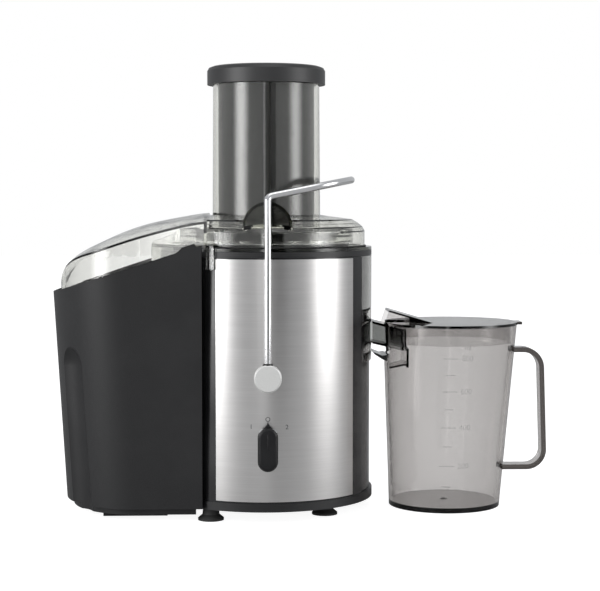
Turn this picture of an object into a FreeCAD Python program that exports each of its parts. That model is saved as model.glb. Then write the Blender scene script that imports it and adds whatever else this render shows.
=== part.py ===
import FreeCAD, Part
import math
import os
from FreeCAD import Vector

# Centrifugal juicer, millimetres, +Z up, front towards -Y, jug towards +X, pulp container towards -X.
# The pieces are drawn about the drive axis (x = y = 0, table at z = 0). Each one is moved along X as it is
# saved, so that the origin lies at the middle of the whole object, on the table.

# Main body
body_r = 84.4
body_top = 207.1
body_wall = 4.0
panel_thickness = 0.9
panel_left = -118.0
panel_right = -38.0
side_recess = 1.6
side_half_angle = 29.0
skirt_r = 85.0
skirt_low = 9.4
skirt_plate = 2.6
housing_low = 16.0
gland_z = 30.0
gland_half = 6.0
gland_flange_r = 9.0
gland_bore_r = 4.0
gland_nose = 5.6
ring_height = 4.2
flange_height = 2.3
deck_thickness = 3.0
deck_drop = 78.1
seam = 0.2

# Feet
foot_r = 10.0
foot_height = 9.4
foot_places = ((-43.7, -62.0), (45.0, -42.0), (71.0, 20.0), (-43.7, 62.0))
foot_names = ("foot_front_left", "foot_front_right", "foot_rear_right", "foot_rear_left")

# Motor
shaft_r = 4.0
running_gap = 0.05
stator_r = 40.0
stator_bore_r = 23.5
stack_height = 36.0
armature_r = 22.8
slot_count = 12
bracket_r = 48.0
bracket_thickness = 3.0
bearing_r = 11.0
bearing_height = 7.0
motor_gap = 11.0
tie_screw_r = 2.0
tie_circle = 44.0

# Bowl and basket
bowl_wall = 2.4
bowl_side_gap = 0.8
bowl_depth = 57.6
outlet_half_width = 16.0
outlet_height = 16.0
outlet_drop = 73.7
nozzle_length = 25.6
basket_gap = 6.7
basket_floor_r = 51.0
basket_depth = 27.0
rim_height = 12.0
mesh_thickness = 0.7
tooth_rings = ((18.0, 10), (28.0, 16), (38.0, 22), (46.0, 28))

# Lid, feed tube and dome
flange_step = 5.6
lid_wall = 2.6
tube_bore_r = 40.2
tube_wall = 2.8
tube_height = 103.4
tube_depth = 20.3
key_width = 3.4
dome_side_gap = 7.0
dome_end_gap = 6.0
dome_wall = 2.4
dome_overlap = 4.0
dome_bend = 58.0
lug_half_width = 19.0
lug_height = 35.4
clip_span = 4.8

# Pusher
pusher_gap = 1.9
pusher_wall = 2.6
cap_r = 47.1
cap_height = 15.0
cap_rounding = 4.2
groove_width = 5.4
groove_depth = 4.4

# Locking arm
rod_r = 2.75
rod_gap = 0.85
arm_pivot_z = 112.0
arm_side_gap = 2.2
arm_reach = 66.0
arm_rise = 3.9
arm_tilt = 0.2
boss_r = 10.5
boss_thickness = 9.0
pin_r = 4.0
cam_r = 9.0

# Speed knob
knob_z = 58.3
knob_width = 14.0
knob_length = 32.6
knob_depth = 8.0
knob_shaft_r = 3.0

# Pulp container
bin_reach = 85.6
bin_half_width = 77.0
bin_return = 6.4
bin_wall = 2.6
bin_gap = 2.1
bin_draft = 0.059
bin_side_draft = 0.024
bin_bend = 60.0
bin_inner_top = 172.0
rim_slope = 0.3167
pad_height = 5.0
grip_r = 20.0
grip_depth = 7.0
grip_back = 15.5
grip_top = 137.0
catch_left = 19.0
catch_right = 4.5
catch_height = 3.5

# Jug
jug_base_r = 44.6
jug_rim_r = 53.9
jug_stand_off = 59.6
jug_lean = 4.1
jug_wall = 2.4
jug_lid_thickness = 2.1
notch_half_width = 17.0
strap_thickness = 4.0
strap_width = 15.0
handle_reach = 78.4
hood_rise = 11.5

# Places that follow from the sizes above
lid_r = body_r - flange_step
basket_r = lid_r - lid_wall - basket_gap
arm_offset = body_r + rod_gap + rod_r
arm_top_y = lid_r + arm_side_gap
bin_length = body_r + bin_reach
bin_right = math.sqrt((body_r + bin_gap) ** 2 - (bin_half_width - bin_return) ** 2)
dome_half_width = bin_half_width - dome_side_gap
dome_length = bin_length - dome_end_gap
dome_right = bin_right - dome_overlap
flange_low = body_top
lid_low = body_top + flange_height
ring_low = body_top - seam - ring_height
housing_high = ring_low - seam
housing_inner = body_r - body_wall
side_r = body_r - side_recess
deck_low = body_top - deck_drop - deck_thickness
deck_high = body_top - deck_drop
bowl_r = housing_inner - 1.0 - bowl_side_gap
bowl_inner = bowl_r - bowl_wall
bowl_low = body_top - bowl_depth
outlet_low = body_top - outlet_drop
outlet_high = outlet_low + outlet_height
lid_top = lid_low + 25.1
tube_r = tube_bore_r + tube_wall
tube_low = lid_low - tube_depth
tube_top = lid_top + tube_height - 0.3
grater_high = tube_low - 2.4
hub_high = grater_high - 3.2
rim_top = hub_high + basket_depth + rim_height + 1.2
rim_low = rim_top - rim_height
bracket_high = deck_low - motor_gap
stack_high = bracket_high - 20.0 - bracket_thickness
stack_low = stack_high - stack_height
lower_bracket_high = stack_low - 20.0
commutator_low = lower_bracket_high + 3.0
jug_rim_z = outlet_high - 3.4
nozzle_end = body_r + nozzle_length
rod_top = lid_low + lug_height + arm_rise
cap_low = lid_top + tube_height
jug_base_x = body_r + jug_stand_off
jug_rim_x = jug_base_x + jug_lean
strap_x = jug_base_x + handle_reach
left_reach = bin_length
right_reach = strap_x + 4.2
axis_x = (left_reach - right_reach) / 2.0

os.makedirs("parts", exist_ok=True)


def save(name, *solids):
    """Writes one sub-part; several solids make a group of separate pieces."""
    shape = solids[0] if len(solids) == 1 else Part.makeCompound(list(solids))
    moved = shape.copy()
    moved.translate(Vector(axis_x, 0, 0))
    moved.exportStep("parts/" + name + ".step")


def cylinder(radius, low, high, x=0.0, y=0.0):
    return Part.makeCylinder(radius, high - low, Vector(x, y, low))


def ring(outer, inner, low, high, x=0.0, y=0.0):
    return cylinder(outer, low, high, x, y).cut(cylinder(inner, low - 1, high + 1, x, y))


def cylinder_y(radius, near, far, x, z):
    return Part.makeCylinder(radius, far - near, Vector(x, near, z), Vector(0, 1, 0))


def block(x_low, x_high, y_low, y_high, z_low, z_high):
    return Part.makeBox(x_high - x_low, y_high - y_low, z_high - z_low, Vector(x_low, y_low, z_low))


def turned(points):
    """A closed (radius, height) outline turned about the drive axis."""
    wire = Part.makePolygon([Vector(r, 0, z) for r, z in points + points[:1]])
    return Part.Face(wire).revolve(Vector(0, 0, 0), Vector(0, 0, 1), 360)


def prism_y(points, near, far):
    """A closed (x, z) outline pushed along Y from near to far."""
    wire = Part.makePolygon([Vector(x, near, z) for x, z in points + points[:1]])
    return Part.Face(wire).extrude(Vector(0, far - near, 0))


def sector(outer, inner, low, high, start, end):
    """The part of a ring between two angles, measured from +X."""
    wedge = Part.makeCylinder(outer, high - low, Vector(0, 0, low), Vector(0, 0, 1), end - start)
    wedge.rotate(Vector(0, 0, 0), Vector(0, 0, 1), start)
    return wedge.cut(cylinder(inner, low - 1, high + 1))


def joined(pieces):
    whole = pieces[0].multiFuse(pieces[1:]) if len(pieces) > 1 else pieces[0]
    return whole.removeSplitter()


def less(shape, tools):
    return shape.cut(tools) if tools else shape


def around(count, radius, start=0.0):
    """Evenly spaced places on a circle."""
    for number in range(count):
        turn = math.radians(start + 360.0 * number / count)
        yield radius * math.cos(turn), radius * math.sin(turn)


def mirrored_y(shape):
    return shape.mirror(Vector(0, 0, 0), Vector(0, 1, 0))


def bent_path(points, radii):
    """Straight runs joined by tangent arcs, as one wire."""
    edges = []
    start = points[0]
    for before, corner, after, radius in zip(points, points[1:], points[2:], radii):
        into = (corner - before).normalize()
        out = (after - corner).normalize()
        turn = into.getAngle(out)
        back = radius * math.tan(turn / 2.0)
        first = corner - into * back
        last = corner + out * back
        inward = (out - into).normalize()
        middle = corner + inward * (radius / math.cos(turn / 2.0) - radius)
        edges.append(Part.LineSegment(start, first).toShape())
        edges.append(Part.Arc(first, middle, last).toShape())
        start = last
    edges.append(Part.LineSegment(start, points[-1]).toShape())
    return Part.Wire(edges)


def half_oval(left, middle, right, half, z):
    """Closed outline at one height: square at the right, a half oval at the left."""
    oval = Part.Ellipse(Vector(middle, half, z), Vector(left, 0, z), Vector(middle, 0, z))
    start = oval.parameter(Vector(middle, half, z))
    arc = Part.ArcOfEllipse(oval, start, start + math.pi).toShape()
    if arc.valueAt((arc.FirstParameter + arc.LastParameter) / 2).x > middle:
        arc = Part.ArcOfEllipse(oval, start + math.pi, start + 2 * math.pi).toShape()
    edges = [arc, Part.LineSegment(Vector(middle, half, z), Vector(right, half, z)).toShape(),
             Part.LineSegment(Vector(right, half, z), Vector(right, -half, z)).toShape(),
             Part.LineSegment(Vector(right, -half, z), Vector(middle, -half, z)).toShape()]
    return Part.Wire(Part.__sortEdges__(edges))


# ---------------------------------------------------------------- main body

def base_housing():
    whole = ring(body_r, housing_inner, housing_low, housing_high)
    ledge = ring(housing_inner + 1.0, housing_inner - 3.4, deck_low - 3.0, deck_low)
    whole = joined([whole, ledge])
    panel_pocket = sector(body_r + 1, body_r - panel_thickness - 0.1, housing_low + 1, housing_high - 1,
                          panel_left, panel_right)
    side_pocket = sector(body_r + 1, side_r, housing_low - 1, housing_high + 1,
                         -side_half_angle, side_half_angle)
    outlet_window = block(60, body_r + 5, -outlet_half_width - 3.4, outlet_half_width + 3.4,
                          outlet_low - 3.2, outlet_high + 9.0)
    knob_hole = cylinder_y(knob_shaft_r + 1.5, -body_r - 5, -housing_inner + 5, 0, knob_z)
    bush_holes = cylinder_y(pin_r + 3.5, -body_r - 5, body_r + 5, 0, arm_pivot_z)
    gland_hole = block(-gland_half - 0.1, gland_half + 0.1, housing_inner - 5, body_r + 5,
                       gland_z - gland_half - 0.1, gland_z + gland_half + 0.1)
    return less(whole, [panel_pocket, side_pocket, outlet_window, knob_hole, bush_holes, gland_hole])


def front_panel():
    sheet = sector(body_r, body_r - panel_thickness, housing_low + 1.1, housing_high - 1.1,
                   panel_left + 0.1, panel_right - 0.1)
    knob_hole = cylinder_y(knob_shaft_r + 1.5, -body_r - 5, -housing_inner, 0, knob_z)
    bush_hole = cylinder_y(pin_r + 3.5, -body_r - 5, -housing_inner, 0, arm_pivot_z)
    return less(sheet, [knob_hole, bush_hole])


def base_skirt():
    plate = ring(skirt_r, 46.0, skirt_low, skirt_low + skirt_plate)
    rim = ring(skirt_r, housing_inner + 0.2, skirt_low, housing_low - 0.1)
    holes = [cylinder(2.5, 0, housing_low, x, y) for x, y in foot_places]
    holes += [cylinder(1.8, 0, housing_low, x, y) for x, y in around(4, 48.0, 45.0)]
    return less(joined([plate, rim]), holes)


def bottom_cover():
    disc = cylinder(50.0, skirt_low - 2.0, skirt_low)
    holes = [cylinder(1.8, 0, skirt_low + 1, x, y) for x, y in around(4, 48.0, 45.0)]
    for number in range(7):
        middle = -30.0 + 10.0 * number
        half = math.sqrt(38.0 ** 2 - middle ** 2)
        holes.append(block(-half, half, middle - 2.0, middle + 2.0, 0, skirt_low + 1))
    return less(disc, holes)


def cover_screw(x, y):
    head = cylinder(3.2, skirt_low - 3.8, skirt_low - 2.0, x, y)
    shank = cylinder(1.7, skirt_low - 2.0, skirt_low + skirt_plate, x, y)
    return joined([head, shank])


def foot(x, y):
    """Rubber suction cup with a peg that plugs into the skirt."""
    outline = [(0, 1.2), (foot_r - 2.2, 0), (foot_r, 0), (foot_r, 1.6), (foot_r - 3.4, 4.4),
               (foot_r - 3.8, foot_height), (2.3, foot_height), (2.3, foot_height + 2.4),
               (0, foot_height + 2.4)]
    cup = turned(outline)
    cup.translate(Vector(x, y, 0))
    return cup


def top_deck():
    disc = cylinder(housing_inner - 0.3, deck_low, deck_high)
    collar = ring(15.5, 12.5, deck_high, deck_high + 7.0)
    holes = [cylinder(12.5, deck_low - 1, deck_high + 8)]
    holes += [cylinder(2.2, deck_low - 1, deck_high + 1, x, y) for x, y in around(4, tie_circle)]
    return less(joined([disc, collar]), holes)


def cord_gland():
    """Grommet in the rear wall, square where it passes the wall, with a hole for a mains lead."""
    body = block(-gland_half, gland_half, housing_inner - 3, body_r + 1,
                 gland_z - gland_half, gland_z + gland_half)
    nose = cylinder_y(gland_half, body_r, body_r + gland_nose, 0, gland_z)
    flange = cylinder_y(gland_flange_r, body_r, body_r + 2.4, 0, gland_z)
    inner = cylinder_y(gland_flange_r, housing_inner - 3, housing_inner - 0.8, 0, gland_z)
    bore = cylinder_y(gland_bore_r, 0, body_r + 10, 0, gland_z)
    return less(joined([body, nose, flange, inner]), [bore])


def arm_bush():
    """Flanged plastic bush in the front wall for the arm's pin."""
    sleeve = cylinder_y(pin_r + 3.4, -body_r + 0.4, -housing_inner + 6.0, 0, arm_pivot_z)
    flange = cylinder_y(pin_r + 6.0, -housing_inner + 3.0, -housing_inner + 6.0, 0, arm_pivot_z)
    bore = cylinder_y(pin_r + running_gap, -body_r - 5, 0, 0, arm_pivot_z)
    return less(joined([sleeve, flange]), [bore])


# ---------------------------------------------------------------- motor

def bracket(low, bearing_side):
    """Bearing bracket: a disc with windows and a cup for its bearing."""
    high = low + bracket_thickness
    disc = cylinder(bracket_r, low, high)
    if bearing_side > 0:
        cup = ring(bearing_r + 3.0, bearing_r + 0.05, high, high + bearing_height)
    else:
        cup = ring(bearing_r + 3.0, bearing_r + 0.05, low - bearing_height, low)
    tools = [cylinder(bearing_r - 3.0, low - 10, high + 10)]
    for x, y in around(4, 29.0, 45.0):
        tools.append(cylinder(9.0, low - 1, high + 1, x, y))
    for x, y in around(4, tie_circle, 45.0):
        tools.append(cylinder(tie_screw_r + 0.1, low - 1, high + 1, x, y))
    for x, y in around(4, tie_circle):
        tools.append(cylinder(2.2, low - 1, high + 1, x, y))
    return less(joined([disc, cup]), tools)


def ball_bearing(low):
    """Outer race, inner race and balls, as one bearing of separate solids."""
    high = low + bearing_height - 0.2
    outer = ring(bearing_r, bearing_r - 2.0, low, high)
    inner = ring(shaft_r + 2.0, shaft_r + running_gap, low, high)
    ball_r = (bearing_r - 4.0 - shaft_r) / 2.0 - 0.05
    ball_circle = (bearing_r + shaft_r) / 2.0
    balls = [Part.makeSphere(ball_r, Vector(x, y, (low + high) / 2)) for x, y in around(8, ball_circle)]
    return [outer, inner] + balls


def stator_core():
    core = ring(stator_r, stator_r - 6.0, stack_low, stack_high)
    poles = []
    for side in (0, 180):
        poles.append(sector(stator_bore_r + 5.0, stator_bore_r, stack_low, stack_high,
                            side - 58, side + 58))
        neck = block(stator_bore_r + 2.0, stator_r - 4.0, -10.0, 10.0, stack_low, stack_high)
        neck.rotate(Vector(0, 0, 0), Vector(0, 0, 1), side)
        poles.append(neck)
    return joined([core] + poles)


def field_coil(side):
    """Coil wound round one pole neck, standing proud of the stack above and below."""
    outer = block(stator_bore_r + 5.4, stator_r - 6.6, -18.0, 18.0, stack_low - 8.0, stack_high + 8.0)
    slot = block(stator_bore_r, stator_r, -10.4, 10.4, stack_low - 0.4, stack_high + 0.4)
    coil = outer.cut(slot).common(cylinder(stator_r - 6.4, stack_low - 9, stack_high + 9))
    coil.rotate(Vector(0, 0, 0), Vector(0, 0, 1), side)
    return coil


def armature_core():
    core = ring(armature_r, shaft_r, stack_low, stack_high)
    slots = []
    for number in range(slot_count):
        slot = block(12.0, armature_r + 1, -1.6, 1.6, stack_low - 1, stack_high + 1)
        slot.rotate(Vector(0, 0, 0), Vector(0, 0, 1), 360.0 * number / slot_count)
        slots.append(slot)
    return less(core, slots)


def armature_windings():
    """Wire in the slots, joined by a bulging ring at each end of the stack."""
    turns = []
    for number in range(slot_count):
        wire = block(12.4, armature_r - 1.2, -1.4, 1.4, stack_low - 1, stack_high + 1)
        wire.rotate(Vector(0, 0, 0), Vector(0, 0, 1), 360.0 * number / slot_count)
        turns.append(wire)
    for low, high in ((stack_low - 9.0, stack_low - 0.5), (stack_high + 0.5, stack_high + 9.0)):
        turns.append(turned([(8.0, low), (16.0, low), (20.5, (low + high) / 2), (21.0, high),
                             (8.0, high)]))
    return joined(turns)


def commutator():
    drum = ring(11.0, shaft_r, commutator_low, stack_low - 9.6)
    slits = []
    for number in range(2 * slot_count):
        slit = block(9.6, 12.0, -0.25, 0.25, commutator_low + 1.5, stack_low)
        slit.rotate(Vector(0, 0, 0), Vector(0, 0, 1), 360.0 * number / (2 * slot_count))
        slits.append(slit)
    return less(drum, slits)


def brush_tube(side):
    """Square brass tube that guides one brush, standing on the lower bracket."""
    low = lower_bracket_high
    high = commutator_low + 6.8
    tube = block(13.0, 31.0, -4.6, 4.6, low, high)
    hole = block(0, 29.8, -3.1, 3.1, low + 2.4, high - 1.4)
    tube = tube.cut(hole)
    tube.rotate(Vector(0, 0, 0), Vector(0, 0, 1), side)
    return tube


def carbon_brush(side):
    low = lower_bracket_high + 2.5
    high = commutator_low + 5.3
    brush = block(11.3, 25.0, -3.0, 3.0, low, high)
    brush.rotate(Vector(0, 0, 0), Vector(0, 0, 1), side)
    return brush


def cooling_fan():
    hub = ring(12.0, shaft_r, stack_high + 10.0, stack_high + 18.0)
    plate = ring(36.0, shaft_r, stack_high + 10.0, stack_high + 11.4)
    blades = []
    for number in range(11):
        blade = block(11.0, 36.0, -0.7, 0.7, stack_high + 11.0, stack_high + 18.0)
        blade.rotate(Vector(20, 0, 0), Vector(0, 0, 1), 18)
        blade.rotate(Vector(0, 0, 0), Vector(0, 0, 1), 360.0 * number / 11)
        blades.append(blade)
    return joined([hub, plate] + blades)


def tie_screw(x, y):
    shank = cylinder(tie_screw_r, lower_bracket_high - bracket_thickness - 3.0, bracket_high, x, y)
    head = cylinder(3.6, bracket_high, bracket_high + 2.6, x, y)
    nut_low = lower_bracket_high - bracket_thickness - 3.0
    nut = cylinder(3.6, nut_low, nut_low + 3.0, x, y)
    return joined([shank, head, nut])


def motor_mount(x, y):
    """Rubber block between the upper bracket and the deck, with a peg into the bracket and the deck."""
    body = cylinder(6.0, bracket_high, deck_low, x, y)
    peg = cylinder(2.1, bracket_high - bracket_thickness, deck_high, x, y)
    return joined([body, peg])


# ---------------------------------------------------------------- drive and basket

coupling_low = deck_high + 9.0
coupling_high = hub_high - 5.0
coupling_r = 13.0


def coupling_shape(radius, low, high):
    """Six-lobed driver, a round boss with six half-round ribs."""
    lobes = [cylinder(3.0, low, high, x, y) for x, y in around(6, radius - 1.5)]
    return joined([cylinder(radius, low, high)] + lobes)


def drive_coupling():
    return coupling_shape(coupling_r, coupling_low, coupling_high).cut(
        cylinder(shaft_r, 0, coupling_high - 3.0))


def motor_shaft():
    return cylinder(shaft_r, lower_bracket_high - bracket_thickness - bearing_height - 3.0,
                    coupling_high - 3.0)


def shaft_seal():
    """Rubber lip seal in the deck's collar."""
    return ring(12.4, shaft_r + running_gap, deck_high - 1.0, deck_high + 6.0)


def basket_hub():
    """Moulded floor of the basket, with a socket for the coupling and a skirt round the bowl's collar."""
    disc = cylinder(basket_floor_r, hub_high - 3.0, hub_high)
    boss = cylinder(19.0, coupling_low + 12.0, hub_high - 1.0)
    skirt = ring(29.4, 27.0, bowl_low + 17.0, hub_high - 1.0)
    socket = coupling_shape(coupling_r + 0.2, 0, coupling_high + 0.3)
    return less(joined([disc, boss, skirt]), [socket])


def filter_mesh():
    low = hub_high - 3.0
    high = rim_low + 1.0
    outer = [(basket_floor_r + 0.1, low), (basket_floor_r + 0.1 + mesh_thickness, low),
             (basket_r - 3.0 + mesh_thickness, high), (basket_r - 3.0, high)]
    return turned(outer)


def grater_disc():
    """Steel disc with rings of pyramid teeth."""
    disc = cylinder(basket_floor_r - 1.0, hub_high, hub_high + 1.2)
    teeth = []
    for radius, count in tooth_rings:
        for x, y in around(count, radius, radius):
            teeth.append(Part.makeCone(1.3, 0.2, 2.2, Vector(x, y, hub_high + 1.0)))
    return joined([disc] + teeth)


def basket_rim():
    """Moulded ring that stiffens the top of the mesh."""
    return turned([(basket_r - 2.2, rim_low), (basket_r, rim_low), (basket_r, rim_top),
                   (basket_r - 1.6, rim_top), (basket_r - 5.4, rim_low + 3.0),
                   (basket_r - 4.2, rim_low + 1.1), (basket_r - 2.2, rim_low + 1.1)])


def bowl():
    """Juice bowl with its flange, sloping gutter, centre collar and outlet at the right side."""
    collar_top = bowl_low + 21.5
    shell = turned([(22.0, bowl_low + 10.6), (bowl_r, bowl_low), (bowl_r, flange_low),
                    (body_r, flange_low), (body_r, lid_low), (bowl_inner, lid_low),
                    (bowl_inner, bowl_low + 2.7), (24.4, bowl_low + 12.9), (24.4, collar_top),
                    (22.0, collar_top)])
    half = outlet_half_width + bowl_wall
    duct = block(58.0, side_r + 0.4, -half, half, outlet_low - bowl_wall, outlet_high + bowl_wall)
    duct = duct.cut(turned([(0, bowl_low + 14.0), (24.4, bowl_low + 12.9), (bowl_inner, bowl_low + 2.7),
                            (bowl_inner, lid_low), (0, lid_low)]))
    shroud = sector(body_r, side_r + 0.1, outlet_low - 14.4, housing_high - 0.3,
                    -side_half_angle + 0.3, side_half_angle - 0.3)
    channel_points = [(60.4, lid_low - 30), (60.4, outlet_low + 5.6), (body_r - 0.4, outlet_low),
                      (body_r + 5, outlet_low), (body_r + 5, outlet_high), (74.0, outlet_high),
                      (74.0, lid_low - 30)]
    channel = prism_y(channel_points, -outlet_half_width, outlet_half_width)
    return less(joined([shell, duct, shroud]), [channel])


def juice_spout():
    """Nozzle that carries the juice over the jug's rim; open underneath at its end."""
    start = body_r + 0.1
    outer = [(start, outlet_low - 1.6), (start, outlet_high + 0.3), (nozzle_end, outlet_high - 6.2),
             (nozzle_end, outlet_low - 7.5)]
    inner = [(start - 1, outlet_low + 0.1), (start - 1, outlet_high - 1.4),
             (nozzle_end - 1.8, outlet_high - 8.0), (nozzle_end - 1.8, outlet_low - 9.0),
             (nozzle_end - 14.0, outlet_low - 9.0), (nozzle_end - 14.0, outlet_low - 2.2)]
    half = outlet_half_width - 0.5
    return prism_y(outer, -half, half).cut(prism_y(inner, -half + 1.8, half - 1.8))


# ---------------------------------------------------------------- lid

# Along the dome from its right end to its tip: the share of the way, and how far the crown and the side
# edge stand above the lid's lower edge.
dome_stations = ((-0.05, 27.2, 21.0), (0.0, 26.6, 20.2), (0.186, 23.4, 16.6), (0.403, 18.1, 9.8),
                 (0.585, 10.9, 3.0), (0.744, 2.4, -4.6), (0.864, -5.2, -11.0), (0.941, -13.6, -19.0),
                 (0.983, -23.0, -28.0), (1.008, -34.0, -38.0))


def dome_plan(inset):
    """Half-oval outline of the dome, seen from above, pushed up from its lower edge."""
    left = -dome_length + inset
    wire = half_oval(left, -dome_length + dome_bend, -dome_right - inset, dome_half_width - inset,
                     bin_inner_top + 3.0)
    return Part.Face(wire).extrude(Vector(0, 0, 80.0))


def dome_top(drop):
    """Crowned solid whose upper face is the dome's roof."""
    wide = dome_half_width + 2.0
    floor_z = bin_inner_top - 20.0
    wires = []
    for share, middle_rise, edge_rise in dome_stations:
        x = -dome_right - share * (dome_length - dome_right)
        crown = lid_low + middle_rise - drop
        side = lid_low + edge_rise - drop
        left = Vector(x, -wide, side)
        right = Vector(x, wide, side)
        left_foot = Vector(x, -wide, floor_z)
        right_foot = Vector(x, wide, floor_z)
        edges = [Part.Arc(left, Vector(x, 0, crown), right), Part.LineSegment(right, right_foot),
                 Part.LineSegment(right_foot, left_foot), Part.LineSegment(left_foot, left)]
        wires.append(Part.Wire([edge.toShape() for edge in edges]))
    return Part.makeLoft(wires, True, False)


def dome(inset, clear_r, clear_top):
    """The dome as a filled shape; it stays outside the body below its floor."""
    filled = dome_plan(inset).common(dome_top(inset))
    return filled.cut(cylinder(clear_r, 0, clear_top))


def arch(half_width, rise, low, near, far):
    """Arch-fronted rib along Y."""
    spring = low + rise * 0.25
    left_foot, right_foot = Vector(-half_width, near, low), Vector(half_width, near, low)
    left, right = Vector(-half_width, near, spring), Vector(half_width, near, spring)
    edges = [Part.LineSegment(left_foot, left), Part.Arc(left, Vector(0, near, low + rise), right),
             Part.LineSegment(right, right_foot), Part.LineSegment(right_foot, left_foot)]
    wire = Part.Wire([edge.toShape() for edge in edges])
    return Part.Face(wire).extrude(Vector(0, far - near, 0))


def lid():
    shell = turned([(0, lid_low), (lid_r, lid_low), (lid_r, lid_low + 12.6), (lid_r - 2.0, lid_low + 16.0),
                    (lid_r - 5.2, lid_low + 18.6), (lid_r - 10.1, lid_low + 21.6),
                    (50.0, lid_low + 24.0), (tube_r, lid_top), (0, lid_top)])
    inside = turned([(0, lid_low - 1), (lid_r - lid_wall, lid_low - 1), (lid_r - lid_wall, lid_low + 11.6),
                     (lid_r - 4.2, lid_low + 14.2), (lid_r - 7.0, lid_low + 16.4),
                     (lid_r - 11.0, lid_low + 18.9), (50.0, lid_low + 21.4), (tube_r - 1, lid_top - 2.6),
                     (0, lid_top - 2.6)])
    lug_low = lid_low + 10.0
    lug_rise = lug_height - 10.0
    near = -arm_top_y + 4.4
    lug = arch(lug_half_width, lug_rise, lug_low, near, -tube_bore_r)
    hollow = arch(lug_half_width - 2.2, lug_rise - 2.4, lug_low, near + 8.0, -tube_r + 2.0)
    clip_sides = (panel_left - clip_span, panel_left)
    clip = joined([sector(body_r + 2.4, body_r + 0.6, lid_low - 16.0, lid_low + 2.0, *clip_sides),
                   sector(body_r + 2.4, lid_r - 1.0, lid_low + 0.2, lid_low + 2.0, *clip_sides)])
    solid = joined([shell, dome(0.0, body_r + 5.1, lid_low + 0.2), lug, mirrored_y(lug),
                    clip, mirrored_y(clip)])
    solid = less(solid, [inside, dome(dome_wall, body_r + 7.5, lid_low + 2.6), hollow, mirrored_y(hollow)])
    tube = Part.makeCone(tube_r + 0.4, tube_r - 0.6, tube_top - tube_low, Vector(0, 0, tube_low))
    solid = joined([solid, tube])
    solid = solid.cut(cylinder(tube_bore_r, tube_low - 1, tube_top + 1))
    key = block(-key_width / 2, key_width / 2, -tube_bore_r - 0.6, -tube_bore_r + 3.0, tube_low, tube_top)
    return joined([solid, key])


# ---------------------------------------------------------------- pusher

pusher_r = tube_bore_r - pusher_gap
pusher_low = tube_low + 3.0


def pusher_body():
    """Hollow cup with a keyway down its front."""
    cup = cylinder(pusher_r, pusher_low, cap_low)
    inside = cylinder(pusher_r - pusher_wall, pusher_low + pusher_wall, cap_low + 1)
    bed = block(-groove_width / 2 - 2, groove_width / 2 + 2, -pusher_r, -pusher_r + groove_depth + 2.2,
                pusher_low, cap_low)
    groove = block(-groove_width / 2, groove_width / 2, -pusher_r - 5, -pusher_r + groove_depth,
                   pusher_low - 1, cap_low + 1)
    return cup.cut(inside.cut(bed)).cut(groove)


def pusher_cap():
    cap_top = cap_low + cap_height
    outline = [(0, cap_low), (cap_r, cap_low), (cap_r, cap_top - cap_rounding),
               (cap_r - 0.3 * cap_rounding, cap_top - 0.45 * cap_rounding),
               (cap_r - cap_rounding, cap_top - 0.18 * cap_rounding), (0, cap_top)]
    plug = ring(pusher_r - pusher_wall - 0.2, pusher_r - pusher_wall - 3.0, cap_low - 8.0, cap_low + 1)
    bed = block(-groove_width / 2 - 2.3, groove_width / 2 + 2.3, -pusher_r - 1,
                -pusher_r + groove_depth + 2.5, cap_low - 9.0, cap_low)
    return joined([turned(outline), plug.cut(bed)])


# ---------------------------------------------------------------- locking arm

def locking_arm():
    """Bent rod: up the front, round the feed tube in a tilted plane, down the rear."""
    low = arm_pivot_z + boss_r - 2.0
    bend = lid_low + 15.0
    far = rod_top + arm_reach * arm_tilt
    points = [Vector(0, -arm_offset, low), Vector(0, -arm_offset, bend), Vector(0, -arm_top_y, rod_top),
              Vector(arm_reach, -arm_reach, far), Vector(arm_reach, arm_reach, far),
              Vector(0, arm_top_y, rod_top), Vector(0, arm_offset, bend), Vector(0, arm_offset, low)]
    path = bent_path(points, [12.0, 4.6, 42.0, 42.0, 4.6, 12.0])
    section = Part.Wire([Part.Circle(points[0], Vector(0, 0, 1), rod_r).toShape()])
    return path.makePipe(Part.Face(section))


def arm_boss():
    """Round cap that holds one end of the rod on its pin."""
    near = -body_r - 0.8 - boss_thickness
    disc = cylinder_y(boss_r, near, -body_r - 0.8, 0, arm_pivot_z)
    rim = [edge for edge in disc.Edges if edge.BoundBox.YMax < near + 0.01 and edge.Length > 10]
    disc = disc.makeChamfer(1.0, rim)
    rod_hole = cylinder(rod_r, arm_pivot_z + boss_r - 2.0, arm_pivot_z + 2 * boss_r, 0, -arm_offset)
    pin_hole = cylinder_y(pin_r, near + 3.0, 0, 0, arm_pivot_z)
    return less(disc, [rod_hole, pin_hole])


def arm_pin():
    near = -body_r - 0.8 - boss_thickness + 3.0
    return cylinder_y(pin_r, near, -housing_inner + 16.0, 0, arm_pivot_z)


def arm_cam():
    """Eccentric on the inner end of the front pin; its lobe points down when the arm is locked."""
    far = -housing_inner + 14.0
    near = far - 5.0
    wheel = cylinder_y(pin_r + 2.4, near, far, 0, arm_pivot_z)
    lobe = cylinder_y(3.0, near, far, 0, arm_pivot_z - cam_r + 3.0)
    return less(joined([wheel, lobe]), [cylinder_y(pin_r, near - 1, far + 1, 0, arm_pivot_z)])


plunger_y = -housing_inner + 11.5
plunger_top = arm_pivot_z - cam_r - 0.3


def interlock_plunger():
    pin = cylinder(2.0, plunger_top - 9.0, plunger_top, 0, plunger_y)
    head = cylinder(3.4, plunger_top - 3.0, plunger_top, 0, plunger_y)
    return joined([pin, head])


def interlock_switch():
    """Switch block below the cam, with a blind hole for its plunger."""
    high = plunger_top - 5.0
    body = block(-10.0, 10.0, plunger_y - 5.0, plunger_y + 6.0, high - 16.0, high)
    return body.cut(cylinder(2.0 + running_gap, high - 8.0, high + 1, 0, plunger_y))


# ---------------------------------------------------------------- speed control

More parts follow.
